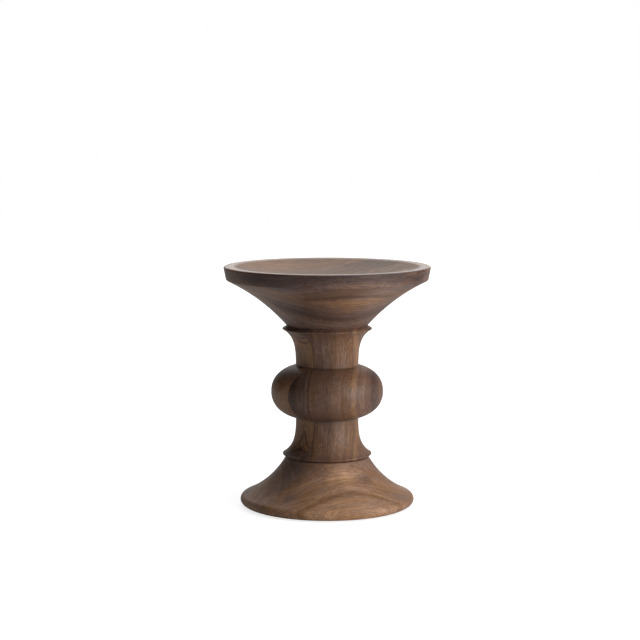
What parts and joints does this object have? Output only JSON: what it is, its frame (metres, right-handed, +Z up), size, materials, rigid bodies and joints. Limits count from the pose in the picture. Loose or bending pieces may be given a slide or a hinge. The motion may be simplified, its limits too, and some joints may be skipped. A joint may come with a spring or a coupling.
{
  "type": "turned wooden stool",
  "caption": "Round turned walnut stool with a dished seat, a baluster column with a bulb between two collars, and a flared base.",
  "frame": {"origin": "on the floor, under the middle of the base", "axes": "+Z up along the turning axis, front towards -Y"},
  "size_m": [0.324, 0.324, 0.38],
  "materials": {
    "seat_wood": "oiled walnut, satin, fibre across the seat",
    "column_wood": "oiled walnut, satin, fibre upright",
    "base_wood": "oiled walnut, satin, fibre across the base",
    "dowel_wood": "plain beech, unfinished",
    "glide_nylon": "dark moulded nylon",
    "nail_steel": "bright nail"
  },
  "bodies": {
    "root": {"seat_board_front": "seat_wood", "seat_board_mid_front": "seat_wood", "seat_board_middle": "seat_wood", "seat_board_mid_back": "seat_wood", "seat_board_back": "seat_wood", "column_board_front": "column_wood", "column_board_middle": "column_wood", "column_board_back": "column_wood", "base_board_front": "base_wood", "base_board_mid_front": "base_wood", "base_board_middle": "base_wood", "base_board_mid_back": "base_wood", "base_board_back": "base_wood", "base_dowel_1": "dowel_wood", "base_dowel_2": "dowel_wood", "base_dowel_3": "dowel_wood", "base_dowel_4": "dowel_wood", "seat_dowel_1": "dowel_wood", "seat_dowel_2": "dowel_wood", "seat_dowel_3": "dowel_wood", "seat_dowel_4": "dowel_wood", "glide_1": "glide_nylon", "glide_nail_1": "nail_steel", "glide_2": "glide_nylon", "glide_nail_2": "nail_steel", "glide_3": "glide_nylon", "glide_nail_3": "nail_steel", "glide_4": "glide_nylon", "glide_nail_4": "nail_steel"}
  },
  "joints": []
}
